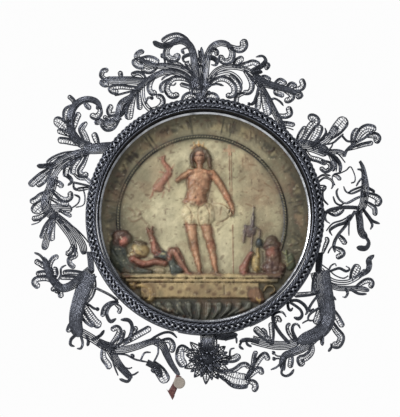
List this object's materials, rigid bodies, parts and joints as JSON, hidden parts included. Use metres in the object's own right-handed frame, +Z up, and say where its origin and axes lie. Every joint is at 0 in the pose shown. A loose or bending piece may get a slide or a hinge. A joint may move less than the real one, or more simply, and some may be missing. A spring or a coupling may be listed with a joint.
{
  "type": "wax relief medallion in a silver filigree frame",
  "caption": "Round painted wax relief of a standing figure between two fallen guards, in a silver case with a roped rim and openwork filigree foliage.",
  "frame": {"origin": "centre of the case's flat back, which lies against the wall", "axes": "+Y out of the back, +Z up, +X to the viewer's right; the relief faces -Y"},
  "size_m": [0.177, 0.0133, 0.1839],
  "materials": {
    "silver": "tarnished silver, darkest in the recesses",
    "bright_silver": "rubbed silver",
    "wax": "painted wax, yellowed and darkened at the edge",
    "card": "blank grey-brown card",
    "lacquer": "dark red-brown lacquer"
  },
  "bodies": {
    "root": {"silver_case": "silver", "inner_bezel": "bright_silver", "rope_border": "silver", "wax_relief": "wax", "crest_spray": "silver", "left_spray": "silver", "lower_left_spray": "silver", "foot_rosette": "silver", "lower_right_spray": "silver", "right_spray": "silver", "upper_right_spray": "silver", "tag_disc": "card", "tag_strip": "lacquer"}
  },
  "joints": []
}
